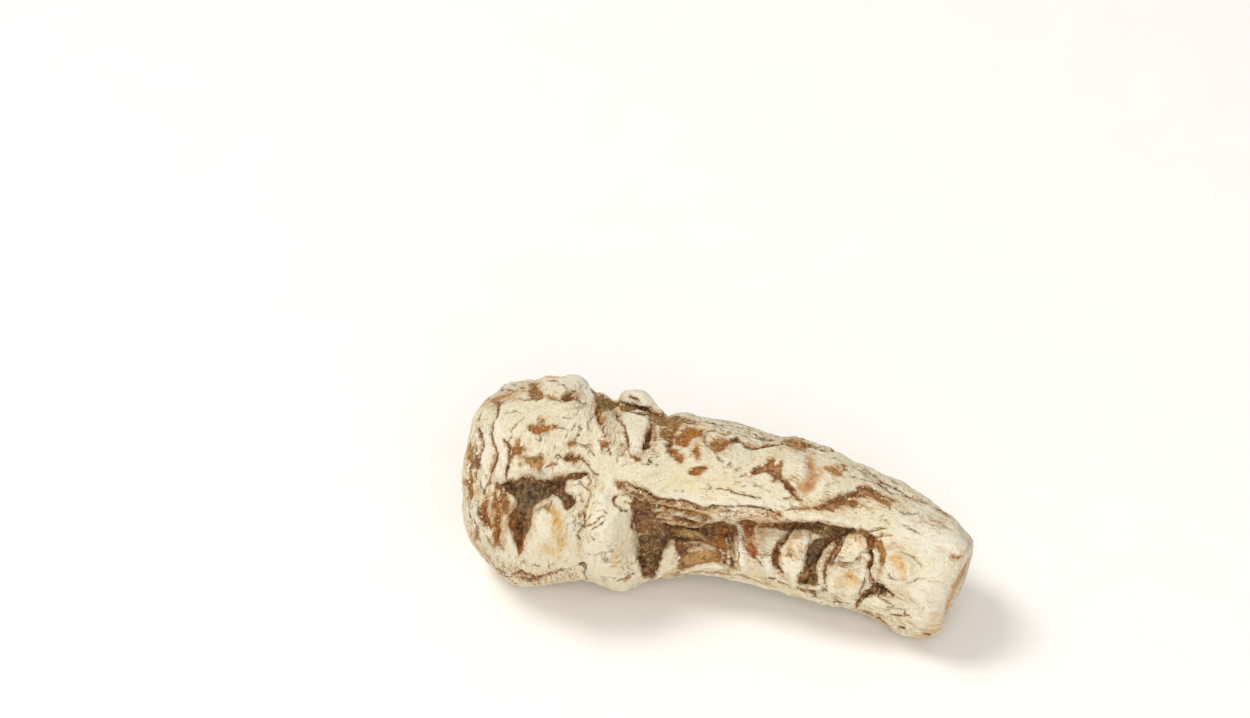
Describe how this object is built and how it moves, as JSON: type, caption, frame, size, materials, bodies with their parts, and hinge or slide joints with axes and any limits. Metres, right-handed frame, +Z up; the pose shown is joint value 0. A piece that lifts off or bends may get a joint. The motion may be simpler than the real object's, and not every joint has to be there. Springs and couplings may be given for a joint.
{
  "type": "dong quai root",
  "caption": "Dried root piece lying on its side: a blunt burled crown, a thick body with a trimmed trough along it, and a narrower cut tail. Rests on a worn flat.",
  "frame": {"origin": "centre of the bounding box in X and Y, at the height of the surface that the root rests on", "axes": "+X along the root from the crown to the cut tail, +Z up; the trough and the burls face -Y"},
  "size_m": [0.0694, 0.031, 0.0266],
  "materials": {
    "dry_skin": "matte, dry, cream with brown bark left in the cracks"
  },
  "bodies": {
    "root": {"dong_quai_root": "dry_skin"}
  },
  "joints": []
}
